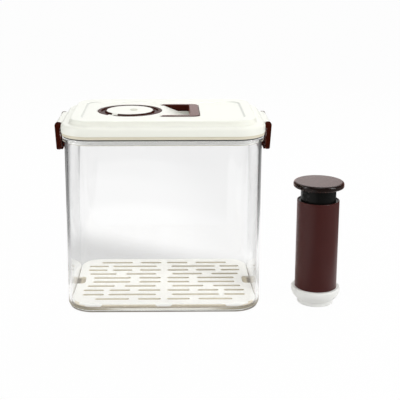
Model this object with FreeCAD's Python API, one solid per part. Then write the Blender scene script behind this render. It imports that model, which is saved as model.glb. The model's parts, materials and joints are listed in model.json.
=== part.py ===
import FreeCAD, Part
import math
import os

# Vacuum food canister with a latched lid, a drain tray and a separate hand pump.
# Millimetres, +Z up, origin at the middle of the canister's flat base, front towards -Y.

V = FreeCAD.Vector

# Shared working values.
overrun = 1.0
edge_tolerance = 0.01
press_gap = 0.01
running_gap = 0.06
seat_gap = 0.3
pin_end_gap = 0.3

# Lid outline, which the whole canister follows by insets.
lid_width = 220.0
lid_depth = 156.0
lid_corner = 33.0

# Clear tub.
tub_height = 192.0
tub_inset = 3.4
tub_wall = 3.0
tub_floor = 4.0
tub_draft_degrees = 0.05
base_round = 5.0
floor_round = 2.6
flange_height = 4.2
flange_out = 2.1
flange_round = 0.8
catch_out = 3.8
catch_drop = 7.7
catch_length = 60.0
catch_round = 0.7

# Drain tray.
tray_top = 9.4
tray_plate = 2.4
tray_gap = 0.9
tray_edge_round = 0.8
skirt_inset = 3.0
skirt_wall = 2.0
skirt_lift = 0.05
skirt_corner_x = 35.0
skirt_corner_y = 30.0
skirt_flare = 2.0
middle_foot_width = 18.0
slot_width = 5.0
slot_pitch = 12.7
notch_length = 22.0
notch_depth = 10.5
# Each row holds the ends of its slots, as shares of half the tray's width; rows from the middle outwards.
slot_row_shares = (
    ((0.035, 0.288), (0.378, 0.805)),
    ((0.09, 0.443), (0.548, 0.863)),
    ((0.035, 0.288), (0.372, 0.606), (0.662, 0.895)),
    ((0.083, 0.608), (0.654, 0.89)),
    ((0.03, 0.283), (0.374, 0.745)),
)

# Lid seal between tub rim and liner.
seal_height = 1.6
seal_rest_gap = 0.05
seal_sleeve = 1.4
seal_lip = 0.8
seal_lip_height = 1.2
seal_lip_pitch = 2.6
seal_edge_inset = 1.2

# Lid liner, the inner half of the lid.
liner_thick = 3.4
liner_inset = 0.8
liner_edge_round = 0.5
plug_gap = 2.6
plug_drop = 6.0
plug_wall = 2.5
plug_plate = 2.6
plug_foot = 1.2
register_height = 2.5
register_wall = 1.6
register_gap = 0.2
liner_port_radius = 8.0

# Lid cover, the outer half of the lid.
shell = 2.5
skirt_height = 6.3
shoulder = 3.0
plateau_inset = 10.2
plateau_rise = 5.7
plateau_round = 1.2
cove = 3.0
panel_drop = 1.2
panel_slope = 2.6
panel_side_margin = 10.2
panel_end_margin = 15.0
panel_corner = 14.0
panel_mouth_round = 1.2
panel_foot_round = 2.0

# Date dial and valve plate, let into the panel.
dial_x = -37.6
dial_radius = 35.9
dial_gap = 0.5
dial_bore = 25.2
dial_step_bore = 26.4
dial_rim = 3.6
dial_rim_proud = 0.1
dial_lip = 0.8
dial_lip_proud = 0.65
dial_trough_depth = 1.2
dial_trough_slant = 0.9
dial_round = 0.3
disc_proud = 0.7
disc_bevel = 0.45
dial_step_height = 2.0
well_depth = 4.0
pointer_angle_degrees = 235.0
pointer_inner_width = 8.0
pointer_outer_width = 6.4
pointer_depth = 0.6
hub_flange_gap = 0.3
spigot_radius = 11.7
spigot_gap = 0.2
valve_chamber_radius = 9.5
valve_plate_thick = 2.2
valve_offset = 4.5
valve_head_radius = 4.2
valve_head_height = 0.8
valve_head_round = 0.5
valve_stem_radius = 1.4
valve_stem_gap = 0.2
valve_lift = 2.0
valve_bulb_radius = 2.6
valve_bulb_height = 2.4
valve_port_radius = 0.7
valve_port_circle = 2.7
valve_port_count = 4
port_seal_inner = 8.6
port_seal_outer = 11.0
port_seal_height = 1.2

# Folding carry handle in its pocket.
handle_left = -3.0
handle_right = 40.0
handle_span = 74.0
handle_leg = 6.2
handle_bar = 10.6
handle_thick = 7.0
handle_proud = 0.7
handle_corner = 7.0
handle_inner_corner = 3.0
handle_round = 1.0
handle_gap = 0.5
channel_gap = 0.4
pocket_depth = 9.2
pocket_start = 0.5
pocket_ramp = 23.8
pocket_reach = 5.0
handle_pin_radius = 1.5
handle_pin_hold = 6.0
pin_boss = 9.0

# Side latches and their hinges.
latch_length = 68.0
latch_plate = 4.8
latch_knuckle = 3.7
latch_tilt = 1.5
latch_drop = 19.0
latch_corner = 4.0
hook_wall = 2.1
hook_gap = 0.4
hook_height = 8.6
hook_length = 57.0
hinge_out = 4.6
hinge_rise = 3.55
ear_length = 61.0
ear_radius = 3.2
ear_gap = 0.5
latch_pin_radius = 1.25
latch_pin_end = 1.5

# Hand pump, standing beside the canister.
pump_x = 170.6
pump_y = -42.0
barrel_radius = 23.2
barrel_wall = 1.6
barrel_base_z = 14.0
barrel_top_z = 118.5
barrel_round = 0.6
foot_height = 18.4
foot_radius = 27.1
foot_lip_radius = 19.9
foot_lip_height = 4.8
foot_lip_step = 0.7
foot_lip_wall = 3.0
foot_cup_depth = 7.0
foot_bow = 3.0
foot_edge_round = 1.0
foot_port_radius = 6.0
seat_thick = 3.0
seat_spigot_drop = 4.5
seat_port_radius = 1.0
seat_port_circle = 3.6
seat_port_count = 6
seat_stem_radius = 1.2
intake_radius = 5.4
intake_thick = 0.9
intake_stem_drop = 4.0
collar_height = 10.0
collar_top_gap = 0.8
tube_radius = 19.35
tube_wall = 2.0
tube_base = 3.0
tube_boss_radius = 5.0
tube_boss_height = 12.0
piston_base_z = 32.6
piston_height = 12.0
piston_radius = 20.4
piston_spigot = 5.0
ring_groove_radius = 18.4
ring_groove_height = 4.0
ring_lift = 4.0
ring_wall_gap = 0.2
ring_side_gap = 0.1
ring_notch = 1.2
screw_radius = 1.9
screw_head_radius = 3.8
screw_head_height = 2.4
screw_head_sink = 3.5
screw_length = 18.0
screw_slot_depth = 1.0
screw_slot_width = 0.9
knob_radius = 27.75
knob_base_z = 133.3
knob_height = 6.2
knob_top_round = 2.6
knob_under_round = 1.6
knob_spigot = 9.0

# Heights that follow from the sizes above.
lean = math.tan(math.radians(tub_draft_degrees))
seal_top = tub_height + seal_height
liner_top = seal_top + liner_thick
ledge_z = liner_top + skirt_height + shoulder
plateau_z = ledge_z + plateau_rise
panel_z = plateau_z - panel_drop
well_z = panel_z - well_depth
disc_top = panel_z + disc_proud
handle_top = panel_z + handle_proud
handle_base = handle_top - handle_thick
channel_z = handle_base - channel_gap
pocket_z = panel_z - pocket_depth
catch_z = tub_height - catch_drop
latch_bottom_z = tub_height - latch_drop
barrel_bore = barrel_radius - barrel_wall
piston_top = piston_base_z + piston_height
tube_bore = tube_radius - tube_wall


# Shape helpers.

def rounded_wire(width, depth, corner, z, x=0.0, y=0.0):
    """Closed outline of a rounded rectangle lying at height z."""
    a = width / 2
    b = depth / 2
    k = corner * (1 - math.sqrt(0.5))
    edges = []
    for sx, sy in ((1, -1), (1, 1), (-1, 1), (-1, -1)):
        on_x = V(x + sx * (a - corner), y + sy * b, z)
        middle = V(x + sx * (a - k), y + sy * (b - k), z)
        on_y = V(x + sx * a, y + sy * (b - corner), z)
        start, end = (on_x, on_y) if sx * sy < 0 else (on_y, on_x)
        if edges:
            edges.append(Part.LineSegment(edges[-1].EndPoint, start))
        edges.append(Part.Arc(start, middle, end))
    edges.append(Part.LineSegment(edges[-1].EndPoint, edges[0].StartPoint))
    return Part.Wire([e.toShape() for e in edges])


def lid_wire(inset, z):
    """The lid's outline, drawn in by an inset."""
    return rounded_wire(lid_width - 2 * inset, lid_depth - 2 * inset, lid_corner - inset, z)


def slab(inset, bottom, top):
    """Straight solid on the lid's outline."""
    return Part.Face(lid_wire(inset, bottom)).extrude(V(0, 0, top - bottom))


def band(outer_inset, inner_inset, bottom, top):
    """Closed strip that follows the lid's outline."""
    return slab(outer_inset, bottom, top).cut(slab(inner_inset, bottom - overrun, top + overrun))


def block(x0, x1, y0, y1, z0, z1):
    """Rectangular block between two corners."""
    return Part.makeBox(x1 - x0, y1 - y0, z1 - z0, V(x0, y0, z0))


def post(radius, bottom, top, x=0.0, y=0.0):
    """Upright cylinder."""
    return Part.makeCylinder(radius, top - bottom, V(x, y, bottom), V(0, 0, 1))


def rod(radius, y0, y1, x, z):
    """Cylinder lying along Y."""
    return Part.makeCylinder(radius, y1 - y0, V(x, y0, z), V(0, 1, 0))


def ring(outer, inner, bottom, top, x=0.0, y=0.0):
    """Upright ring."""
    return post(outer, bottom, top, x, y).cut(post(inner, bottom - overrun, top + overrun, x, y))


def turned(points, x, y, bow=None):
    """Solid of revolution about an upright axis; the points are radius and height.

    The outline closes with a straight line, or with an arc through the bow point if it is given.
    """
    corners = [V(x + r, y, z) for r, z in points]
    edges = [Part.LineSegment(a, b) for a, b in zip(corners, corners[1:])]
    if bow:
        edges.append(Part.Arc(corners[-1], V(x + bow[0], y, bow[1]), corners[0]))
    else:
        edges.append(Part.LineSegment(corners[-1], corners[0]))
    face = Part.Face(Part.Wire([e.toShape() for e in edges]))
    return face.revolve(V(x, y, 0), V(0, 0, 1), 360)


def profile(points, y0, y1):
    """Straight solid along Y from points in X and Z."""
    corners = [V(x, y0, z) for x, z in points]
    return Part.Face(Part.makePolygon(corners + corners[:1])).extrude(V(0, y1 - y0, 0))


def flat_edges(shape, z, half_x=None, half_y=None):
    """Edges that lie at height z, inside a half width and half depth if these are given."""
    found = []
    for edge in shape.Edges:
        box = edge.BoundBox
        level = abs(box.ZMin - z) < edge_tolerance and abs(box.ZMax - z) < edge_tolerance
        in_x = half_x is None or max(abs(box.XMin), abs(box.XMax)) < half_x + edge_tolerance
        in_y = half_y is None or max(abs(box.YMin), abs(box.YMax)) < half_y + edge_tolerance
        if level and in_x and in_y:
            found.append(edge)
    return found


def rounded_at(shape, z, radius, half_x=None, half_y=None):
    """The shape with its edges at height z rounded."""
    return shape.makeFillet(radius, flat_edges(shape, z, half_x, half_y))


def rounded_circles(shape, radius, places):
    """The shape with its full circles of the given radius and height rounded."""
    edges = []
    for edge in shape.Edges:
        box = edge.BoundBox
        for r, z in places:
            wide = abs(box.XLength - 2 * r) < edge_tolerance
            level = abs(box.ZMin - z) < edge_tolerance and abs(box.ZMax - z) < edge_tolerance
            if wide and level:
                edges.append(edge)
    return shape.makeFillet(radius, edges)


def circle_places(radius, count):
    """Evenly spaced places on a circle about the origin."""
    turns = [2 * math.pi * place / count for place in range(count)]
    return [(radius * math.cos(turn), radius * math.sin(turn)) for turn in turns]


def fused(first, *others):
    """One solid out of several that touch or overlap."""
    return first.fuse(list(others)).removeSplitter()


def mirrored(shape):
    """The same piece on the other side of the canister."""
    return shape.mirror(V(0, 0, 0), V(1, 0, 0))


# Canister.

def wall_inset(z, depth):
    """Inset of the tub's drafted wall at a height and a depth into the wall."""
    return tub_inset + depth + (tub_height - z) * lean


def make_tub():
    outer = Part.makeLoft([lid_wire(wall_inset(0, 0), 0), lid_wire(tub_inset, tub_height)], True, True)
    outer = rounded_at(outer, 0, base_round)
    mouth_z = tub_height + overrun
    inner = Part.makeLoft([lid_wire(wall_inset(tub_floor, tub_wall), tub_floor),
                           lid_wire(wall_inset(mouth_z, tub_wall), mouth_z)], True, True)
    inner = rounded_at(inner, tub_floor, floor_round)
    flange = slab(tub_inset - flange_out, tub_height - flange_height, tub_height)
    flange = rounded_at(flange, tub_height, flange_round)
    catch_x = lid_width / 2 - tub_inset + catch_out
    catch_half = catch_length / 2
    catch = block(-catch_x, catch_x, -catch_half, catch_half, catch_z, tub_height - flange_height)
    uprights = [e for e in catch.Edges if e.BoundBox.ZLength > edge_tolerance]
    catch = catch.makeFillet(catch_round, uprights)
    return fused(outer, flange, catch).cut(inner)


def tray_slots(half_width):
    """Cutters for the slot rows, alike on both sides of both middle lines."""
    cutters = []
    bottom = tray_top - tray_plate - overrun
    top = tray_top + overrun
    for row, shares in enumerate(slot_row_shares):
        y = (row + 0.5) * slot_pitch
        for start_share, end_share in shares:
            start = start_share * half_width + slot_width / 2
            end = end_share * half_width - slot_width / 2
            for sx in (1, -1):
                for sy in (1, -1):
                    low = min(sx * start, sx * end)
                    high = max(sx * start, sx * end)
                    middle = sy * y
                    bar = block(low, high, middle - slot_width / 2, middle + slot_width / 2, bottom, top)
                    ends = [post(slot_width / 2, bottom, top, x, middle) for x in (low, high)]
                    cutters.append(fused(bar, *ends))
    return cutters


def make_tray():
    inset = wall_inset(tray_top, tub_wall) + tray_gap
    half_x = lid_width / 2 - inset
    half_y = lid_depth / 2 - inset
    underside = tray_top - tray_plate
    foot_z = tub_floor + skirt_lift
    plate = rounded_at(slab(inset, underside, tray_top), tray_top, tray_edge_round)
    skirt = band(inset + skirt_inset, inset + skirt_inset + skirt_wall, foot_z, underside)
    corner_x = half_x - skirt_corner_x
    corner_y = half_y - skirt_corner_y
    foot = middle_foot_width / 2
    flare = skirt_flare * (underside - foot_z + overrun) / (underside - foot_z)
    low = foot_z - overrun
    gap = profile([(foot - flare, low), (corner_x + flare, low), (corner_x, underside), (foot, underside)],
                  -half_y, half_y)
    side_gap = block(-half_x, half_x, -corner_y, corner_y, low, underside)
    tray = fused(plate, skirt.cut([gap, mirrored(gap), side_gap]))
    notch_round = notch_depth / 2
    for side in (1, -1):
        notch_wire = rounded_wire(2 * notch_depth, notch_length, notch_round, foot_z, side * half_x)
        tray = tray.cut(Part.Face(notch_wire).extrude(V(0, 0, tray_top)))
    return tray.cut(tray_slots(half_x))


# Lid.

def tub_mouth_inset():
    return tub_inset + tub_wall


def make_gasket():
    plug = tub_mouth_inset() + plug_gap
    sleeve_bottom = tub_height - plug_drop + plug_foot
    sleeve = band(plug - seal_sleeve, plug, sleeve_bottom, seal_top)
    flange = band(tub_inset - flange_out + seal_edge_inset, plug, tub_height + seal_rest_gap, seal_top)
    lips = []
    for count in range(2):
        lip_z = sleeve_bottom + count * seal_lip_pitch
        lips.append(band(plug - seal_sleeve - seal_lip, plug, lip_z, lip_z + seal_lip_height))
    return fused(sleeve, flange, *lips)


def make_liner():
    plug = tub_mouth_inset() + plug_gap
    plug_bottom = tub_height - plug_drop
    flange = slab(liner_inset, seal_top, liner_top)
    flange = flange.makeFillet(liner_edge_round, flat_edges(flange, seal_top))
    wall = band(plug, plug + plug_wall, plug_bottom, seal_top)
    foot = band(plug - seal_sleeve, plug + plug_wall, plug_bottom, plug_bottom + plug_foot)
    register_inset = shell + register_gap
    register = band(register_inset, register_inset + register_wall, liner_top, liner_top + register_height)
    liner = fused(flange, wall, foot, register)
    chamber = slab(plug + plug_wall, seal_top - overrun, liner_top - plug_plate)
    port = post(liner_port_radius, plug_bottom, liner_top + overrun, dial_x)
    return liner.cut([chamber, port])


def handle_plan(grow, bottom, top):
    """The handle's U in plan, opened out by a clearance."""
    left = handle_left - grow
    right = handle_right + grow
    half = handle_span / 2 + grow
    inner_half = handle_span / 2 - handle_leg - grow
    inner_right = handle_right - handle_bar - grow
    outside = rounded_wire(2 * (right - left), 2 * half, handle_corner + grow, bottom, left)
    inside = rounded_wire(2 * (inner_right - left), 2 * inner_half, handle_inner_corner, bottom, left)
    ring_solid = Part.Face(outside).cut(Part.Face(inside)).extrude(V(0, 0, top - bottom))
    return ring_solid.common(block(left, right, -half, half, bottom, top))


def handle_pivot():
    """Where the handle's pins lie in X and Z."""
    return handle_left + handle_thick / 2, (handle_top + handle_base) / 2


def latch_pivot():
    """Where the right latch's pin lies in X and Z."""
    return lid_width / 2 + hinge_out, liner_top + hinge_rise


def make_panel_cutter():
    """Recess of the top panel, with walls that slope down to its floor."""
    half_x = lid_width / 2 - plateau_inset - panel_side_margin
    half_y = lid_depth / 2 - plateau_inset - panel_end_margin
    rise = panel_drop + overrun
    widen = panel_slope * overrun / panel_drop
    floor_wire = rounded_wire(2 * (half_x - panel_slope), 2 * (half_y - panel_slope),
                              panel_corner - panel_slope, panel_z)
    mouth_wire = rounded_wire(2 * (half_x + widen), 2 * (half_y + widen),
                              panel_corner + widen, panel_z + rise)
    return Part.makeLoft([floor_wire, mouth_wire], True, True), half_x, half_y


def make_cover_shell():
    """The two-tier moulding of the lid with its hollow underside and its recessed panel."""
    rim = rounded_at(slab(0, liner_top, ledge_z), ledge_z, shoulder)
    plateau = rounded_at(slab(plateau_inset, liner_top, plateau_z), plateau_z, plateau_round)
    body = fused(rim, plateau)
    body = rounded_at(body, ledge_z, cove, lid_width / 2 - plateau_inset, lid_depth / 2 - plateau_inset)
    cutter, half_x, half_y = make_panel_cutter()
    body = body.cut(cutter)
    body = rounded_at(body, plateau_z, panel_mouth_round, half_x, half_y)
    body = rounded_at(body, panel_z, panel_foot_round, half_x, half_y)
    under = liner_top - overrun
    rim_hollow = slab(shell, under, ledge_z - shell)
    panel_hollow = slab(plateau_inset + shell, under, panel_z - shell)
    return body.cut(rim_hollow.fuse(panel_hollow))


def make_ear():
    """Hinge ear on the lid's right side."""
    x, z = latch_pivot()
    half = ear_length / 2
    inside = lid_width / 2 - shell / 2
    boss = rod(ear_radius, -half, half, x, z)
    web = block(inside, x, -half, half, liner_top, z + ear_radius)
    bore = rod(latch_pin_radius + press_gap, -half - overrun, half + overrun, x, z)
    return fused(boss, web).cut(bore)


def make_cover():
    cover = make_cover_shell()
    pivot_x, pivot_z = handle_pivot()
    half = handle_span / 2
    under = panel_z - shell - overrun
    well_radius = dial_radius + dial_gap
    well_wall = post(well_radius + shell, well_z - shell, panel_z - shell / 2, dial_x)
    left = handle_left - handle_gap - shell
    right = handle_right + handle_gap + shell
    side = half + handle_gap + shell
    tray_wall = block(left, right, -side, side, pocket_z - shell, panel_z - shell / 2)
    boss_side = half + handle_pin_hold + shell
    boss = block(pivot_x - pin_boss / 2, pivot_x + pin_boss / 2, -boss_side, boss_side,
                 pivot_z - pin_boss / 2, panel_z - shell / 2)
    ear = make_ear()
    cover = fused(cover, well_wall, tray_wall, boss, ear, mirrored(ear))
    well = post(well_radius, well_z, plateau_z, dial_x)
    spigot_hole = post(spigot_radius + spigot_gap, under - well_depth, plateau_z, dial_x)
    channel = handle_plan(handle_gap, channel_z, plateau_z)
    inner_half = half - handle_leg - handle_gap
    bar_x = handle_right - handle_bar
    pocket_end = bar_x + pocket_reach
    pocket = profile([(pocket_start, panel_z), (pocket_ramp, pocket_z), (pocket_end, pocket_z),
                      (pocket_end, plateau_z), (pocket_start, plateau_z)], -inner_half, inner_half)
    pin_end = half + handle_pin_hold + pin_end_gap
    pin_bore = rod(handle_pin_radius + press_gap, -pin_end, pin_end, pivot_x, pivot_z)
    island = block(pivot_x - pin_boss, pivot_x + pin_boss, -inner_half, inner_half, channel_z, panel_z)
    return cover.cut([well, spigot_hole, channel, pocket, pin_bore.cut(island)])


def dial_parts():
    """The dial ring, with a trough between its rim and its lip, and the pointer let into it."""
    low = well_z + seat_gap
    step_z = low + dial_step_height
    rim_z = panel_z + dial_rim_proud
    lip_z = panel_z + dial_lip_proud
    trough_z = rim_z - dial_trough_depth
    rim_bore = dial_radius - dial_rim
    lip_radius = dial_step_bore + dial_lip
    form = turned([(dial_step_bore, lip_z), (dial_step_bore, step_z), (dial_bore, step_z),
                   (dial_bore, low), (dial_radius, low), (dial_radius, rim_z), (rim_bore, rim_z),
                   (rim_bore - dial_trough_slant, trough_z), (lip_radius + dial_trough_slant, trough_z),
                   (lip_radius, lip_z)], dial_x, 0)
    form = rounded_circles(form, dial_round, [(dial_radius, rim_z), (rim_bore, rim_z), (lip_radius, lip_z)])
    near = dial_step_bore - overrun
    far = dial_radius + overrun
    wedge_base = trough_z - pointer_depth
    corners = [V(near, -pointer_inner_width / 2, wedge_base), V(far, -pointer_outer_width / 2, wedge_base),
               V(far, pointer_outer_width / 2, wedge_base), V(near, pointer_inner_width / 2, wedge_base)]
    wedge = Part.Face(Part.makePolygon(corners + corners[:1]))
    wedge = wedge.extrude(V(0, 0, lip_z + overrun - wedge_base))
    wedge.rotate(V(0, 0, 0), V(0, 0, 1), pointer_angle_degrees)
    wedge.translate(V(dial_x, 0, 0))
    return form.cut(wedge), form.common(wedge)


def valve_axis():
    return dial_x + valve_offset


def make_valve_plate():
    hub = dial_bore - seat_gap
    flange = dial_step_bore - hub_flange_gap
    flange_z = well_z + seat_gap + dial_step_height + hub_flange_gap
    chamber_z = disc_top - valve_plate_thick
    foot_z = liner_top + port_seal_height
    plate = turned([(0, well_z), (hub, well_z), (hub, flange_z), (flange, flange_z),
                    (flange, disc_top - disc_bevel), (flange - disc_bevel, disc_top),
                    (0, disc_top)], dial_x, 0)
    spigot = post(spigot_radius, foot_z, well_z, dial_x)
    low = chamber_z - overrun
    high = disc_top + overrun
    cutters = [post(valve_chamber_radius, foot_z - overrun, chamber_z, dial_x),
               post(valve_stem_radius + valve_stem_gap, low, high, valve_axis())]
    for x, y in circle_places(valve_port_circle, valve_port_count):
        cutters.append(post(valve_port_radius, low, high, valve_axis() + x, y))
    return fused(plate, spigot).cut(cutters)


def make_port_seal():
    return ring(port_seal_outer, port_seal_inner, liner_top, liner_top + port_seal_height, dial_x)


def make_check_valve():
    """Soft mushroom valve: domed head, stem and a bulb that keeps it in the plate."""
    under = disc_top - valve_plate_thick
    bulb_top = under - valve_lift - valve_stem_gap
    bulb_bottom = bulb_top - valve_bulb_height
    x = valve_axis()
    valve = turned([(0, bulb_bottom), (valve_stem_radius, bulb_bottom), (valve_bulb_radius, bulb_top),
                    (valve_stem_radius, bulb_top), (valve_stem_radius, disc_top),
                    (valve_head_radius, disc_top), (valve_head_radius, disc_top + valve_head_height),
                    (0, disc_top + valve_head_height)], x, 0)
    return rounded_circles(valve, valve_head_round, [(valve_head_radius, disc_top + valve_head_height)])


def make_handle():
    """Folding U handle, rounded about its pivot."""
    pivot_x, pivot_z = handle_pivot()
    half = handle_span / 2
    plan = handle_plan(0, handle_base, handle_top)
    plan = plan.makeFillet(handle_round, flat_edges(plan, handle_top))
    trim = handle_thick / 2
    nose = block(pivot_x - trim, pivot_x, -half, half, handle_base, handle_top)
    nose = nose.cut(rod(trim, -half, half, pivot_x, pivot_z))
    depth = handle_leg - shell + pin_end_gap
    bores = [rod(handle_pin_radius + running_gap, half - depth, half + overrun, pivot_x, pivot_z),
             rod(handle_pin_radius + running_gap, -half - overrun, -half + depth, pivot_x, pivot_z)]
    return plan.cut([nose] + bores)


def make_handle_pins():
    pivot_x, pivot_z = handle_pivot()
    half = handle_span / 2
    start = half - handle_leg + shell
    end = half + handle_pin_hold
    return Part.makeCompound([rod(handle_pin_radius, start, end, pivot_x, pivot_z),
                              rod(handle_pin_radius, -end, -start, pivot_x, pivot_z)])


def make_latch():
    """Right latch: knuckles bored from the back, a leaning plate and an upturned hook at its foot."""
    x, z = latch_pivot()
    half = latch_length / 2
    roll = latch_plate / 2
    outer = x + latch_knuckle
    foot_x = outer - roll - latch_tilt
    foot_z = latch_bottom_z + roll
    plate = profile([(outer - latch_plate, z), (outer, z),
                     (foot_x + roll, foot_z), (foot_x - roll, foot_z)], -half, half)
    knuckle = rod(latch_knuckle, -half, half, x, z)
    foot = rod(roll, -half, half, foot_x, foot_z)
    hook_outer = lid_width / 2 - tub_inset + catch_out
    hook_inner = hook_outer - hook_wall
    hook_top = catch_z - hook_gap
    hook_half = hook_length / 2
    hook = profile([(hook_inner, hook_top), (hook_outer, hook_top), (hook_outer, foot_z), (foot_x, foot_z),
                    (foot_x, latch_bottom_z), (hook_outer, latch_bottom_z),
                    (hook_inner, hook_top - hook_height + roll)], -hook_half, hook_half)
    outline_top = z + latch_knuckle
    height = outline_top - latch_bottom_z
    outline = Part.Face(rounded_wire(height, latch_length, latch_corner, 0))
    outline = outline.extrude(V(0, 0, 2 * latch_length))
    outline.rotate(V(0, 0, 0), V(0, 1, 0), 90)
    outline.translate(V(lid_width / 2 - latch_length, 0, (outline_top + latch_bottom_z) / 2))
    latch = fused(plate, knuckle, foot, hook).common(outline)
    ear_half = ear_length / 2 + ear_gap
    ear_room = block(x - 2 * latch_knuckle, x + 2 * latch_knuckle, -ear_half, ear_half,
                     z - latch_knuckle - ear_gap, outline_top + overrun)
    bore_end = half - latch_pin_end + pin_end_gap
    bore = rod(latch_pin_radius + running_gap, -bore_end, half + overrun, x, z)
    return latch.cut([ear_room, bore])


def make_latch_pin():
    x, z = latch_pivot()
    half = latch_length / 2 - latch_pin_end
    return rod(latch_pin_radius, -half, half, x, z)


# Hand pump.

def make_barrel():
    tube = ring(barrel_radius, barrel_bore, barrel_base_z, barrel_top_z, pump_x, pump_y)
    return rounded_circles(tube, barrel_round, [(barrel_radius, barrel_top_z), (barrel_bore, barrel_top_z)])


def make_foot():
    """Soft foot: a bowl round the barrel's end, over a lip that seals on the valve plate."""
    socket = barrel_radius + press_gap
    cup = foot_lip_radius - foot_lip_wall
    step = foot_lip_radius + foot_lip_step
    upper = foot_height - foot_edge_round
    bow = ((foot_radius + step + foot_bow) / 2, (upper + foot_lip_height - foot_bow) / 2)
    return turned([(step, foot_lip_height), (foot_lip_radius, foot_lip_height), (foot_lip_radius, 0),
                   (cup, 0), (cup, foot_cup_depth), (foot_port_radius, foot_cup_depth),
                   (foot_port_radius, barrel_base_z), (socket, barrel_base_z), (socket, foot_height),
                   (foot_radius - foot_edge_round, foot_height), (foot_radius, upper)], pump_x, pump_y, bow)


def make_seat():
    """Valve seat at the barrel's end, with its spigot in the foot's port."""
    top = barrel_base_z + seat_thick
    spigot_z = barrel_base_z - seat_spigot_drop
    plate = post(barrel_bore - press_gap, barrel_base_z, top, pump_x, pump_y)
    spigot = post(foot_port_radius - press_gap, spigot_z, barrel_base_z, pump_x, pump_y)
    low = spigot_z - overrun
    high = top + overrun
    cutters = [post(seat_stem_radius + press_gap, low, high, pump_x, pump_y)]
    for x, y in circle_places(seat_port_circle, seat_port_count):
        cutters.append(post(seat_port_radius, low, high, pump_x + x, pump_y + y))
    return fused(plate, spigot).cut(cutters)


def make_intake_valve():
    top = barrel_base_z + seat_thick
    flap = post(intake_radius, top, top + intake_thick, pump_x, pump_y)
    return fused(flap, post(seat_stem_radius, top - intake_stem_drop, top, pump_x, pump_y))


def make_collar():
    top = barrel_top_z - collar_top_gap
    return ring(barrel_bore - press_gap, tube_radius + running_gap,
                top - collar_height, top, pump_x, pump_y)


def make_tube():
    bore = post(tube_bore, piston_top + tube_base, knob_base_z + overrun, pump_x, pump_y)
    tube = post(tube_radius, piston_top, knob_base_z, pump_x, pump_y).cut(bore)
    boss = post(tube_boss_radius, piston_top, piston_top + tube_base + tube_boss_height, pump_x, pump_y)
    hole = post(screw_radius + press_gap, piston_top - overrun, piston_base_z + screw_head_sink
                + screw_head_height + screw_length + overrun, pump_x, pump_y)
    spigot_room = ring(tube_bore, tube_bore - piston_spigot / 2, piston_top - overrun,
                       piston_top + tube_base / 2, pump_x, pump_y)
    return fused(tube, boss).cut([hole, spigot_room])


def make_piston():
    head = ring(piston_radius, screw_radius + press_gap, piston_base_z, piston_top, pump_x, pump_y)
    low = piston_base_z + ring_lift
    groove = ring(piston_radius + overrun, ring_groove_radius,
                  low, low + ring_groove_height, pump_x, pump_y)
    sink = post(screw_head_radius + running_gap, piston_base_z - overrun,
                piston_base_z + screw_head_sink + screw_head_height, pump_x, pump_y)
    rib = ring(tube_bore - press_gap, tube_bore - piston_spigot / 2 + press_gap, piston_top,
               piston_top + tube_base / 2 - press_gap, pump_x, pump_y)
    return fused(head, rib).cut([groove, sink])


def make_piston_ring():
    """Cup seal with an open lower face, in the piston's groove."""
    low = piston_base_z + ring_lift + ring_side_gap
    high = piston_base_z + ring_lift + ring_groove_height - ring_side_gap
    inner = ring_groove_radius + press_gap
    outer = barrel_bore - ring_wall_gap
    middle = (inner + outer) / 2
    half = ring_notch / 2
    return turned([(inner, low), (middle - half, low), (middle, low + ring_notch), (middle + half, low),
                   (outer, low), (outer, high), (inner, high)], pump_x, pump_y)


def make_piston_screw():
    low = piston_base_z + screw_head_sink
    neck = low + screw_head_height
    head = post(screw_head_radius, low, neck, pump_x, pump_y)
    shank = post(screw_radius, neck, neck + screw_length, pump_x, pump_y)
    half = screw_slot_width / 2
    reach = screw_head_radius + overrun
    slot_a = block(pump_x - reach, pump_x + reach, pump_y - half, pump_y + half, low - overrun,
                   low + screw_slot_depth)
    slot_b = block(pump_x - half, pump_x + half, pump_y - reach, pump_y + reach, low - overrun,
                   low + screw_slot_depth)
    return fused(head, shank).cut([slot_a, slot_b])


def make_knob():
    top = knob_base_z + knob_height
    disc = post(knob_radius, knob_base_z, top, pump_x, pump_y)
    disc = rounded_circles(disc, knob_top_round, [(knob_radius, top)])
    disc = rounded_circles(disc, knob_under_round, [(knob_radius, knob_base_z)])
    return fused(disc, post(tube_bore - press_gap, knob_base_z - knob_spigot, knob_base_z, pump_x, pump_y))


def build():
    latch = make_latch()
    latch_pin = make_latch_pin()
    dial_ring, dial_pointer = dial_parts()
    return {
        "canister_tub": make_tub(),
        "drain_tray": make_tray(),
        "lid_cover": make_cover(),
        "lid_liner": make_liner(),
        "lid_gasket": make_gasket(),
        "dial_ring": dial_ring,
        "dial_pointer": dial_pointer,
        "valve_plate": make_valve_plate(),
        "check_valve": make_check_valve(),
        "valve_port_seal": make_port_seal(),
        "carry_handle": make_handle(),
        "handle_pins": make_handle_pins(),
        "right_latch": latch,
        "left_latch": mirrored(latch),
        "right_latch_pin": latch_pin,
        "left_latch_pin": mirrored(latch_pin),
        "pump_barrel": make_barrel(),
        "pump_foot": make_foot(),
        "pump_seat": make_seat(),
        "pump_intake_valve": make_intake_valve(),
        "pump_collar": make_collar(),
        "plunger_tube": make_tube(),
        "plunger_knob": make_knob(),
        "piston_head": make_piston(),
        "piston_ring": make_piston_ring(),
        "piston_screw": make_piston_screw(),
    }


os.makedirs("parts", exist_ok=True)
for node, shape in build().items():
    shape.exportStep("parts/" + node + ".step")
    print(node, len(shape.Solids), shape.isValid(), round(shape.Volume))
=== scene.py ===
import json
import math
from collections import namedtuple

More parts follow.
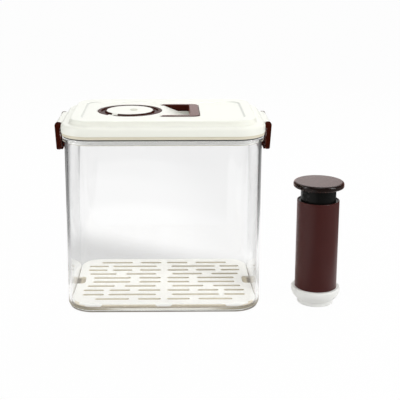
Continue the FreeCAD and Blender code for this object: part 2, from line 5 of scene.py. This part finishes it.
import bpy
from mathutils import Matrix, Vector


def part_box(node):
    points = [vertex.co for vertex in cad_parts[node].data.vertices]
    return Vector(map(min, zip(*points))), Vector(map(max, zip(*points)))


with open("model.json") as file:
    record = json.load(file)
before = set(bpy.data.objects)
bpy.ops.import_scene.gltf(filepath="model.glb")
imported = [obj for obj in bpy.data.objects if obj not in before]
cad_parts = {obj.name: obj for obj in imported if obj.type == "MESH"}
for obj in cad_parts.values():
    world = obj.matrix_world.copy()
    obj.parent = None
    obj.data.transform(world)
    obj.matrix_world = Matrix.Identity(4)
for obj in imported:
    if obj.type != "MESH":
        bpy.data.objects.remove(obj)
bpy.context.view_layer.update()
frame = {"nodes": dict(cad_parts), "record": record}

MM = 0.001
WHITE = (1.0, 1.0, 1.0)

# Width over which one shade gives way to another.
BLEND_WIDTH = 0.1 * MM

# Camera: image side, focal length and principal point in pixels, place in metres.
IMAGE_SIDE = 400
FOCAL_PIXELS = 890.3
PRINCIPAL_POINT = (178.94, 139.57)
SENSOR_MM = 36.0
CAMERA_PLACE = (0.0052, -0.9839, 0.3949)
CAMERA_PITCH = math.radians(12.48)
CAMERA_YAW = math.radians(0.716)
CLIP_START = 0.01

# Floor, white in sight. All places on it are in metres.
FLOOR_DROP = 0.2 * MM
FLOOR_SIZE = 12.0
FLOOR_COLOUR = (0.80, 0.80, 0.80)
FLOOR_ROUGHNESS = 0.9
FLOOR_GLOW = 0.97

# Dark flags on the floor, left and right behind the canister, in reflections and through clear plastic.
FLAG_LEVEL = 0.31
FLAG_MIDDLE = 0.02
FLAG_SPREAD = 0.11
FLAG_EDGES = (0.175, 0.245)
FLAG_START = (0.04, 0.16)

# Dark, grey and white cards on the floor in front, from far to near, and a dark one before the pump.
# Reflections alone show them.
CARD_LEVELS = (0.0, 0.40, 1.0)
FAR_CARD_EDGE = (-0.67, -0.57)
FAR_CARD_SLOPE = 0.26
NEAR_CARD_EDGE = (-0.51, -0.45)
NEAR_CARD_BEND = 3.5
NEAR_CARD_MIDDLE = -0.045
PUMP_CARD_LEVEL = 0.35
PUMP_CARD_EDGES = (0.11, 0.04)
PUMP_CARD_SLOPE = 0.175

# Painted shadow, soft, on the floor behind the canister, seen in reflections and through clear plastic.
BACK_PAINTED_SHADOW_LEVEL = 0.66
BACK_PAINTED_SHADOW_EDGE = (0.07, 0.18)
BACK_PAINTED_SHADOW_SLOPE = 0.58

# Painted shadow under the tub, seen in reflections and through clear plastic, and along the line of contact
# also in plain sight: how far its outline lies outside the tray's, the outline's corner, the line of contact
# that is in plain sight, and colours by depth inside the outline.
TUB_OUT = 3.9 * MM
TUB_CORNER = 29.4 * MM
PAINTED_CONTACT_SHADOW = (1.2 * MM, 3.2 * MM)
PAINTED_SHADOW_UNDER_TUB = (
    (-14.0 * MM, WHITE),
    (-9.0 * MM, (0.85, 0.83, 0.80)),
    (-1.0 * MM, (0.28, 0.25, 0.22)),
    (4.0 * MM, (0.14, 0.12, 0.10)),
    (8.0 * MM, (0.64, 0.57, 0.43)),
    (16.0 * MM, (0.28, 0.24, 0.17)),
    (40.0 * MM, (0.48, 0.44, 0.35)),
    (66.0 * MM, (1.0, 0.98, 0.92)),
)

# Room: a white backdrop low behind, dim light all round and a little more from the front.
BACKDROP_DEPTH = (0.0, 0.40)
BACKDROP_SIDES = (0.14, 0.36)
BACKDROP_TOP = (0.30, 0.55)
BACKDROP_LEVEL = 1.2
ROOM_AMBIENT = 0.46
ROOM_FRONT = 0.54
ROOM_FRONT_DEPTH = (0.0, -0.6)
ROOM_FRONT_TOP = (0.6, 0.2)
ROOM_DARK = 0.06

# Each lamp: name, place, the point it faces, width, height, watts.
LID_MIDDLE = (0.0, 0.0, 0.17)
LAMPS = (
    ("back_softbox", (0.25, 0.80, 1.10), LID_MIDDLE, 1.3, 0.8, 7.2),
    ("front_softbox", (0.10, -0.75, 1.25), LID_MIDDLE, 0.9, 0.5, 2.5),
    ("right_softbox", (1.05, -0.55, 0.62), LID_MIDDLE, 0.35, 0.95, 7.2),
    ("left_softbox", (-1.05, -0.50, 0.50), LID_MIDDLE, 0.25, 0.95, 5.1),
)

# Finish of an opaque piece: colour, roughness, how far roughness varies, grain size and depth in mm, share of
# mottling, radius of softened edges in mm, share of edge lightening, level of reflection, sheen.
Finish = namedtuple("Finish", "colour roughness uneven grain depth mottle softness wear gloss sheen")
CREAM = Finish((0.87, 0.875, 0.80), 0.32, 0.06, 0.6, 0.004, 0.012, 0.35, 0.05, 0.5, 0.0)
FINISHES = {
    "cream_plastic": CREAM,
    "lid_plastic_painted_shade": CREAM,
    "tray_plastic": Finish((0.97, 0.965, 0.925), 0.46, 0.08, 0.5, 0.006, 0.015, 0.3, 0.05, 0.5, 0.0),
    "beige_plastic": Finish((0.72, 0.67, 0.53), 0.42, 0.06, 0.5, 0.004, 0.02, 0.25, 0.05, 0.5, 0.0),
    "brown_plastic": Finish((0.040, 0.0055, 0.0022), 0.18, 0.05, 0.9, 0.002, 0.10, 0.3, 0.15, 0.05, 0.25),
    "ring_plastic": Finish((0.034, 0.0050, 0.0022), 0.18, 0.05, 0.9, 0.002, 0.10, 0.3, 0.15, 0.012, 0.08),
    "pump_brown": Finish((0.050, 0.0090, 0.0075), 0.34, 0.06, 0.35, 0.003, 0.08, 0.3, 0.2, 0.28, 0.12),
    "knob_brown": Finish((0.008, 0.0036, 0.0026), 0.22, 0.05, 0.35, 0.003, 0.08, 0.3, 0.2, 0.30, 0.30),
    "black_plastic": Finish((0.0050, 0.0050, 0.0045), 0.30, 0.06, 0.4, 0.003, 0.10, 0.2, 0.15, 0.15, 0.0),
    "white_silicone": Finish((0.80, 0.80, 0.775), 0.55, 0.06, 0.4, 0.006, 0.015, 0.3, 0.03, 0.5, 0.0),
    "seal_silicone": Finish((0.95, 0.95, 0.93), 0.5, 0.06, 0.4, 0.006, 0.02, 0.2, 0.04, 0.5, 0.0),
    "grey_silicone": Finish((0.18, 0.18, 0.17), 0.5, 0.06, 0.4, 0.006, 0.03, 0.2, 0.05, 0.5, 0.0),
    "valve_silicone": Finish((0.66, 0.66, 0.56), 0.45, 0.06, 0.4, 0.004, 0.02, 0.3, 0.04, 0.5, 0.0),
    "inner_plastic": Finish((0.55, 0.55, 0.53), 0.45, 0.06, 0.5, 0.004, 0.02, 0.2, 0.05, 0.5, 0.0),
}
# The lid cover's own finish carries the painted shade on its recess slopes.
OWN_FINISH = {"dial_ring": "ring_plastic", "lid_cover": "lid_plastic_painted_shade"}

# What all moulded finishes share: sizes of mottling and of patches of gloss, how far worn edges lighten,
# the cosine at which an edge counts in full, and the tint and spread of sheen.
MOTTLE_SIZE = 24 * MM
GLOSS_PATCH = 7 * MM
WORN_LIFT = 0.12
EDGE_COSINE = 0.75
BEVEL_SAMPLES = 4
PLASTIC_IOR = 1.49
SHEEN_TINT = (1.0, 0.38, 0.30)
SHEEN_ROUGHNESS = 0.35

# Clear plastic: patches of haze, flow waves, tint of the wall, and reflections after which light caught
# inside the wall leaves it.
HAZE_PATCH = 30 * MM
HAZE_ROUGHNESS = 0.035
HAZE_RANGE = (0.45, 0.8)
WAVE_SIZE = 90 * MM
WAVE_DEPTH = 0.25 * MM
WALL_TINT = (0.90, 0.915, 0.91)
WALL_DENSITY = 15.0
TRAPPED_BOUNCES = 1.5

# Ground steel.
STEEL_GREYS = ((0.50, 0.50, 0.51), (0.62, 0.62, 0.62))
STEEL_MOTTLE = 3 * MM
STEEL_ROUGHNESS = (0.18, 0.36)
STEEL_PATCH = 1.2 * MM
STEEL_GRAIN = 0.4 * MM
STEEL_GRAIN_DEPTH = 0.004 * MM

# Painted shade, tan, in the tray's slots, under its plate and on its edge between skirts and feet, where
# shade falls.
TRAY_PAINTED_SHADE = (0.80, 0.73, 0.58)
TRAY_PAINTED_SHADE_START = 0.15 * MM
TRAY_EDGE_START = 1.0 * MM
TRAY_EDGE_BAND = 5.0 * MM
TRAY_FOOT = 9.0 * MM
TRAY_SKIRT = (35.0 * MM, 30.0 * MM)

# Painted shadow on the rim of the lid's seal, for the dark gap between lid and tub.
SEAL_RIM_PAINTED_SHADOW = (0.07, 0.07, 0.065)

# Painted shade, greyer cream, on the end slopes of the recess round the top panel: depths under the plateau,
# where the ends start and how far the recess reaches from the middle.
RECESS_PAINTED_SHADE = (0.62, 0.63, 0.58)
RECESS_TOP = (0.10 * MM, 0.35 * MM)
RECESS_FOOT = (1.19 * MM, 1.05 * MM)
RECESS_ENDS = (70.0 * MM, 84.0 * MM)
RECESS_REACH = (92.0 * MM, 56.0 * MM)


class Tree:
    """A material's node tree with short calls to add and join nodes."""

    def __init__(self, name):
        self.material = bpy.data.materials.new(name)
        self.material.use_nodes = True
        self.nodes = self.material.node_tree.nodes
        self.links = self.material.node_tree.links
        self.shader = self.nodes["Principled BSDF"]
        self.output = self.nodes["Material Output"]

    def add(self, kind, **settings):
        node = self.nodes.new("ShaderNode" + kind)
        for key, value in settings.items():
            setattr(node, key, value)
        return node

    def join(self, source, target):
        self.links.new(source, target)

    def put(self, values):
        """Sets uniform values on the shader's own sockets."""
        for name, value in values.items():
            self.shader.inputs[name].default_value = value

    def place(self):
        """Object coordinates, so that a finish moves with its piece."""
        return self.add("TexCoord").outputs["Object"]

    def noise(self, size, detail=2.0):
        """Noise whose features measure about the given size in metres."""
        node = self.add("TexNoise")
        node.inputs["Scale"].default_value = 1 / size
        node.inputs["Detail"].default_value = detail
        self.join(self.place(), node.inputs["Vector"])
        return node.outputs["Fac"]

    def spread(self, source, low, high, start=0.0, end=1.0):
        """Maps a value from one range to another."""
        node = self.add("MapRange")
        node.inputs["From Min"].default_value = start
        node.inputs["From Max"].default_value = end
        node.inputs["To Min"].default_value = low
        node.inputs["To Max"].default_value = high
        self.join(source, node.inputs["Value"])
        return node.outputs["Result"]

    def between(self, share, first, second):
        """Colour between two colours or sockets."""
        node = self.add("Mix", data_type="RGBA")
        self.join(share, node.inputs["Factor"])
        for socket, value in ((node.inputs[6], first), (node.inputs[7], second)):
            if isinstance(value, tuple):
                socket.default_value = (*value, 1.0)
            else:
                self.join(value, socket)
        return node.outputs[2]

    def axis(self, name):
        """One object coordinate."""
        split = self.add("SeparateXYZ")
        self.join(self.place(), split.inputs["Vector"])
        return split.outputs[name]

    def step(self, source, low, high):
        """0 up to a low value, 1 from a high one and smooth between; turned over if low exceeds high."""
        first, last = min(low, high), max(low, high)
        start, end = (0.0, 1.0) if low < high else (1.0, 0.0)
        share = self.spread(source, start, end, first, last)
        share.node.interpolation_type = "SMOOTHSTEP"
        return share

    def math(self, operation, first, second=None):
        """Result of a sum or comparison of sockets and numbers."""
        node = self.add("Math", operation=operation)
        for socket, value in zip(node.inputs, (first, second)):
            if isinstance(value, float):
                socket.default_value = value
            elif value is not None:
                self.join(value, socket)
        return node.outputs[0]

    def ramp(self, source, stops):
        """Colour that follows a value through stops of value and colour."""
        first, last = stops[0][0], stops[-1][0]
        node = self.add("ValToRGB")
        elements = node.color_ramp.elements
        elements[0].color = (*stops[0][1], 1.0)
        elements[1].color = (*stops[-1][1], 1.0)
        for value, colour in stops[1:-1]:
            elements.new((value - first) / (last - first)).color = (*colour, 1.0)
        self.join(self.spread(source, 0.0, 1.0, first, last), node.inputs["Fac"])
        return node.outputs["Color"]

    def inside(self, name, reach):
        """1 where one coordinate lies within a reach of the middle."""
        return self.step(self.math("ABSOLUTE", self.axis(name)), reach, reach - BLEND_WIDTH)

    def edge_share(self, bevel_normal):
        """1 on edges, where the softened normal leaves the face's own, and 0 on faces."""
        dot = self.add("VectorMath", operation="DOT_PRODUCT")
        self.join(bevel_normal, dot.inputs[0])
        self.join(self.add("NewGeometry").outputs["Normal"], dot.inputs[1])
        return self.spread(dot.outputs["Value"], 1.0, 0.0, EDGE_COSINE, 1.0)

    def bump(self, height, distance, under=None):
        """Gives the shader small heights, over a softened normal where there is one."""
        node = self.add("Bump")
        node.inputs["Strength"].default_value = 1.0
        node.inputs["Distance"].default_value = distance
        self.join(height, node.inputs["Height"])
        if under is not None:
            self.join(under, node.inputs["Normal"])
        self.join(node.outputs["Normal"], self.shader.inputs["Normal"])

    def surface(self, share, second):
        """Makes the surface a mix of the shader and a second one."""
        mix = self.add("MixShader")
        self.join(share, mix.inputs["Fac"])
        self.join(self.shader.outputs["BSDF"], mix.inputs[1])
        self.join(second, mix.inputs[2])
        self.join(mix.outputs["Shader"], self.output.inputs["Surface"])

    def reflected(self, path):
        """1 for light that has been reflected."""
        return self.math("GREATER_THAN", path.outputs["Glossy Depth"], 0.5)

    def bounced(self, path):
        """1 for light that comes from a reflection or through clear plastic."""
        return self.math("MAXIMUM", path.outputs["Is Transmission Ray"], path.outputs["Is Glossy Ray"])


def scaled(colour, factor):
    return tuple(min(1.0, channel * factor) for channel in colour)


def painted_tray_shade(tree):
    """Painted shade, tan, in the tray's slots, under its plate and along its edge, but not on skirts and
    feet.
    """
    half_x, half_y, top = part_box("drain_tray")[1]
    height = tree.axis("Z")
    deep = tree.step(height, top - TRAY_PAINTED_SHADE_START, top - TRAY_PAINTED_SHADE_START - BLEND_WIDTH)
    middle = tree.math("MULTIPLY", tree.inside("X", half_x - TRAY_EDGE_BAND),
                       tree.inside("Y", half_y - TRAY_EDGE_BAND))
    lower = tree.step(height, top - TRAY_EDGE_START, top - TRAY_EDGE_START - BLEND_WIDTH)
    off_foot = tree.math("SUBTRACT", tree.inside("X", half_x - TRAY_SKIRT[0]), tree.inside("X", TRAY_FOOT))
    open_edge = tree.math("MAXIMUM", off_foot, tree.inside("Y", half_y - TRAY_SKIRT[1]))
    share = tree.math("MAXIMUM", tree.math("MULTIPLY", deep, middle),
                      tree.math("MULTIPLY", lower, open_edge))
    return share, TRAY_PAINTED_SHADE


def painted_seal_shadow(tree):
    """Painted shadow on the seal's rim above the tub, for the dark gap there."""
    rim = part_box("canister_tub")[1][2]
    return tree.step(tree.axis("Z"), rim - BLEND_WIDTH, rim), SEAL_RIM_PAINTED_SHADOW


def painted_recess_shade(tree):
    """Painted shade: greyer slopes between the plateau and the top panel's ends."""
    depth = tree.math("SUBTRACT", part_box("lid_cover")[1][2], tree.axis("Z"))
    slope = tree.math("MULTIPLY", tree.step(depth, *RECESS_TOP), tree.step(depth, *RECESS_FOOT))
    within = tree.math("MULTIPLY", tree.inside("X", RECESS_REACH[0]), tree.inside("Y", RECESS_REACH[1]))
    ends = tree.step(tree.math("ABSOLUTE", tree.axis("X")), *RECESS_ENDS)
    return tree.math("MULTIPLY", tree.math("MULTIPLY", slope, within), ends), RECESS_PAINTED_SHADE


# Painted shade on some finishes: where it lies and its colour.
PAINTED_SHADES = {"tray_plastic": painted_tray_shade, "seal_silicone": painted_seal_shadow, "lid_plastic_painted_shade": painted_recess_shade}


def moulded(name, finish):
    """Moulded plastic or rubber: mottled colour, uneven gloss, fine grain, worn, softened edges and, on some
    finishes, a painted shade.
    """
    tree = Tree(name)
    bevel = tree.add("Bevel", samples=BEVEL_SAMPLES)
    bevel.inputs["Radius"].default_value = finish.softness * MM
    softened = bevel.outputs["Normal"]
    body = tree.between(tree.noise(MOTTLE_SIZE, 3.0), scaled(finish.colour, 1 - finish.mottle),
                        scaled(finish.colour, 1 + finish.mottle))
    worn = tuple(channel + (1 - channel) * WORN_LIFT for channel in finish.colour)
    body = tree.between(tree.math("MULTIPLY", tree.edge_share(softened), finish.wear), body, worn)
    # Painted shade laid over the colour, for finishes that have one.
    if name in PAINTED_SHADES:
        share, shade = PAINTED_SHADES[name](tree)
        body = tree.between(share, body, shade)
    tree.join(body, tree.shader.inputs["Base Color"])
    roughness = tree.spread(tree.noise(GLOSS_PATCH, 4.0), finish.roughness - finish.uneven,
                            finish.roughness + finish.uneven)
    tree.join(roughness, tree.shader.inputs["Roughness"])
    tree.bump(tree.noise(finish.grain * MM), finish.depth * MM, softened)
    tree.put({"IOR": PLASTIC_IOR, "Specular IOR Level": finish.gloss, "Sheen Weight": finish.sheen,
              "Sheen Roughness": SHEEN_ROUGHNESS, "Sheen Tint": (*SHEEN_TINT, 1.0)})
    return tree.material


def clear_plastic(name):
    """Polished clear plastic with faint flow waves; light passes it to what stands inside."""
    tree = Tree(name)
    tree.put({"Base Color": (*WHITE, 1.0), "Transmission Weight": 1.0, "IOR": PLASTIC_IOR})
    haze = tree.spread(tree.noise(HAZE_PATCH, 3.0), 0.0, HAZE_ROUGHNESS, *HAZE_RANGE)
    tree.join(haze, tree.shader.inputs["Roughness"])
    tree.bump(tree.noise(WAVE_SIZE, 0.0), WAVE_DEPTH)
    absorption = tree.add("VolumeAbsorption")
    absorption.inputs["Color"].default_value = (*WALL_TINT, 1.0)
    absorption.inputs["Density"].default_value = WALL_DENSITY
    tree.join(absorption.outputs["Volume"], tree.output.inputs["Volume"])
    path = tree.add("LightPath")
    lit = tree.math("MAXIMUM", path.outputs["Is Shadow Ray"], path.outputs["Is Diffuse Ray"])
    trapped = tree.math("GREATER_THAN", path.outputs["Glossy Depth"], TRAPPED_BOUNCES)
    clear = tree.add("BsdfTransparent")
    clear.inputs["Color"].default_value = (*WHITE, 1.0)
    tree.surface(tree.math("MAXIMUM", lit, trapped), clear.outputs["BSDF"])
    return tree.material


def ground_steel(name):
    """Ground steel pins and screws: mottled grey, uneven polish and fine grain."""
    tree = Tree(name)
    tree.join(tree.between(tree.noise(STEEL_MOTTLE, 4.0), *STEEL_GREYS), tree.shader.inputs["Base Color"])
    tree.join(tree.spread(tree.noise(STEEL_PATCH, 3.0), *STEEL_ROUGHNESS), tree.shader.inputs["Roughness"])
    tree.bump(tree.noise(STEEL_GRAIN), STEEL_GRAIN_DEPTH)
    tree.put({"Metallic": 1.0})
    return tree.material


def dress_nodes():
    """Gives every CAD node the finish of its slot, or its own where it has one."""
    made = {name: moulded(name, finish) for name, finish in FINISHES.items()}
    made["clear_plastic"] = clear_plastic("clear_plastic")
    made["steel"] = ground_steel("steel")
    for part in frame["record"]["subparts"]:
        node = frame["nodes"][part["node"]]
        node.data.materials.clear()
        node.data.materials.append(made[OWN_FINISH.get(part["node"], part["material_slot"])])


def tub_depth(tree):
    """How far a place on the floor lies inside the tub's rounded outline."""
    half_x, half_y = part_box("drain_tray")[1][:2]
    inset = TUB_OUT - TUB_CORNER
    past_x = tree.math("SUBTRACT", tree.math("ABSOLUTE", tree.axis("X")), half_x + inset)
    past_y = tree.math("SUBTRACT", tree.math("ABSOLUTE", tree.axis("Y")), half_y + inset)
    corner = tree.add("CombineXYZ")
    tree.join(tree.math("MAXIMUM", past_x, 0.0), corner.inputs["X"])
    tree.join(tree.math("MAXIMUM", past_y, 0.0), corner.inputs["Y"])
    reach = tree.add("VectorMath", operation="LENGTH")
    tree.join(corner.outputs["Vector"], reach.inputs[0])
    inner = tree.math("MINIMUM", tree.math("MAXIMUM", past_x, past_y), 0.0)
    return tree.math("SUBTRACT", TUB_CORNER, tree.math("ADD", reach.outputs["Value"], inner))


def pump_card(tree, x, y):
    """Dark card in front of the pump, towards the camera's side."""
    low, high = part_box("pump_foot")
    middle = tree.math("ADD", tree.math("MULTIPLY", y, PUMP_CARD_SLOPE),
                       (low[0] + high[0]) / 2 - (low[1] + high[1]) / 2 * PUMP_CARD_SLOPE)
    off = tree.math("ABSOLUTE", tree.math("SUBTRACT", x, middle))
    ahead = tree.step(y, low[1], low[1] - BLEND_WIDTH)
    return tree.math("MULTIPLY", tree.step(off, *PUMP_CARD_EDGES), ahead)


def open_floor(tree, reflected):
    """Cards in front, which only reflections show, and a painted shadow behind and flags at the sides."""
    x, y = tree.axis("X"), tree.axis("Y")
    far = tree.math("SUBTRACT", y, tree.math("MULTIPLY", x, FAR_CARD_SLOPE))
    bend = tree.math("SUBTRACT", x, NEAR_CARD_MIDDLE)
    bend = tree.math("MULTIPLY", tree.math("MULTIPLY", bend, bend), NEAR_CARD_BEND)
    near = tree.math("SUBTRACT", y, bend)
    first, second, third = CARD_LEVELS
    level = tree.math("MULTIPLY", tree.step(far, *FAR_CARD_EDGE), second - first)
    level = tree.math("ADD", level, first)
    level = tree.math("ADD", level, tree.math("MULTIPLY", tree.step(near, *NEAR_CARD_EDGE), third - second))
    level = tree.math("MULTIPLY", level, tree.spread(pump_card(tree, x, y), 1.0, PUMP_CARD_LEVEL))
    cards = tree.spread(reflected, 1.0, 0.0)
    tree.join(level, cards.node.inputs["To Max"])
    # Painted shadow behind the canister.
    shade = tree.math("ADD", y, tree.math("MULTIPLY", x, BACK_PAINTED_SHADOW_SLOPE))
    shade = tree.math("MULTIPLY", tree.step(shade, *reversed(BACK_PAINTED_SHADOW_EDGE)),
                      tree.step(y, 0.0, BLEND_WIDTH))
    level = tree.math("MULTIPLY", cards, tree.spread(shade, 1.0, BACK_PAINTED_SHADOW_LEVEL))
    side = tree.math("ABSOLUTE", tree.math("SUBTRACT", x, FLAG_MIDDLE))
    side = tree.step(tree.math("SUBTRACT", side, tree.math("MULTIPLY", y, FLAG_SPREAD)), *FLAG_EDGES)
    side = tree.math("MULTIPLY", side, tree.step(y, *FLAG_START))
    return tree.math("MULTIPLY", level, tree.spread(side, 1.0, FLAG_LEVEL))


def make_floor():
    """Pale floor: white in sight with a soft shadow and a painted contact shadow by the tub's foot; in
    reflections and through clear plastic it shows flags, cards and painted shadows behind and under the
    canister.
    """
    half = FLOOR_SIZE / 2
    mesh = bpy.data.meshes.new("floor")
    corners = [(x, y, -FLOOR_DROP) for x, y in ((-half, -half), (half, -half), (half, half), (-half, half))]
    mesh.from_pydata(corners, [], [(0, 1, 2, 3)])
    floor = bpy.data.objects.new("floor", mesh)
    bpy.context.scene.collection.objects.link(floor)
    tree = Tree("floor")
    tree.put({"Base Color": (*FLOOR_COLOUR, 1.0), "Roughness": FLOOR_ROUGHNESS, "Specular IOR Level": 0.0})
    path = tree.add("LightPath")
    camera = path.outputs["Is Camera Ray"]
    share = tree.math("MAXIMUM", tree.math("MULTIPLY", camera, FLOOR_GLOW), tree.bounced(path))
    depth = tub_depth(tree)
    # Painted shadow under the tub, by depth inside its outline.
    under = tree.step(depth, PAINTED_SHADOW_UNDER_TUB[0][0] - BLEND_WIDTH, PAINTED_SHADOW_UNDER_TUB[0][0])
    seen = tree.between(under, open_floor(tree, tree.reflected(path)), tree.ramp(depth, PAINTED_SHADOW_UNDER_TUB))
    # In plain sight the floor stays white, except along the line of contact, where it shows the painted
    # shadow.
    plain = tree.math("MULTIPLY", camera, tree.step(depth, *reversed(PAINTED_CONTACT_SHADOW)))
    glow = tree.add("Emission")
    tree.join(tree.between(plain, seen, WHITE), glow.inputs["Color"])
    tree.surface(share, glow.outputs["Emission"])
    mesh.materials.append(tree.material)


class Sky(Tree):
    """The world's node tree, with the same short calls."""

    def __init__(self, name):
        self.world = bpy.data.worlds.new(name)
        self.world.use_nodes = True
        self.nodes = self.world.node_tree.nodes
        self.links = self.world.node_tree.links
        self.background = self.nodes["Background"]

    def place(self):
        """Direction from the object."""
        return self.add("TexCoord").outputs["Generated"]


def make_world():
    """White in sight and low down through clear plastic; reflections see a white backdrop in a dim room."""
    sky = Sky("studio")
    path = sky.add("LightPath")
    behind = sky.step(sky.axis("Y"), *BACKDROP_DEPTH)
    low = sky.step(sky.axis("Z"), *reversed(BACKDROP_TOP))
    middle = sky.step(sky.math("ABSOLUTE", sky.axis("X")), *reversed(BACKDROP_SIDES))
    sweep = sky.math("MULTIPLY", sky.math("MULTIPLY", behind, middle), BACKDROP_LEVEL)
    ahead = sky.spread(sky.reflected(path), 1.0, 0.0)
    sky.join(sweep, ahead.node.inputs["To Max"])
    backdrop = sky.math("MAXIMUM", sky.math("MULTIPLY", low, ahead), ROOM_DARK)
    front = sky.math("MULTIPLY", sky.step(sky.axis("Y"), *ROOM_FRONT_DEPTH),
                     sky.step(sky.axis("Z"), *ROOM_FRONT_TOP))
    level = sky.spread(sky.bounced(path), 0.0, 1.0)
    sky.join(sky.spread(front, ROOM_AMBIENT, ROOM_FRONT), level.node.inputs["To Min"])
    sky.join(backdrop, level.node.inputs["To Max"])
    level = sky.math("MAXIMUM", level, path.outputs["Is Camera Ray"])
    sky.background.inputs["Color"].default_value = (*WHITE, 1.0)
    sky.join(level, sky.background.inputs["Strength"])
    bpy.context.scene.world = sky.world


def make_lamps():
    for name, place, target, width, height, watts in LAMPS:
        data = bpy.data.lights.new(name, "AREA")
        data.shape = "RECTANGLE"
        data.size = width
        data.size_y = height
        data.energy = watts
        lamp = bpy.data.objects.new(name, data)
        lamp.location = place
        aim = Vector(target) - Vector(place)
        lamp.rotation_euler = aim.to_track_quat("-Z", "Y").to_euler()
        lamp.visible_camera = False
        bpy.context.scene.collection.objects.link(lamp)


def make_camera():
    data = bpy.data.cameras.new("camera")
    data.sensor_width = SENSOR_MM
    data.lens = SENSOR_MM * FOCAL_PIXELS / IMAGE_SIDE
    data.shift_x = 0.5 - PRINCIPAL_POINT[0] / IMAGE_SIDE
    data.shift_y = PRINCIPAL_POINT[1] / IMAGE_SIDE - 0.5
    data.clip_start = CLIP_START
    camera = bpy.data.objects.new("camera", data)
    camera.location = CAMERA_PLACE
    camera.rotation_euler = (math.pi / 2 - CAMERA_PITCH, 0.0, -CAMERA_YAW)
    bpy.context.scene.collection.objects.link(camera)
    bpy.context.scene.camera = camera


dress_nodes()
make_floor()
make_world()
make_lamps()
make_camera()
bpy.context.scene.view_settings.view_transform = "Standard"
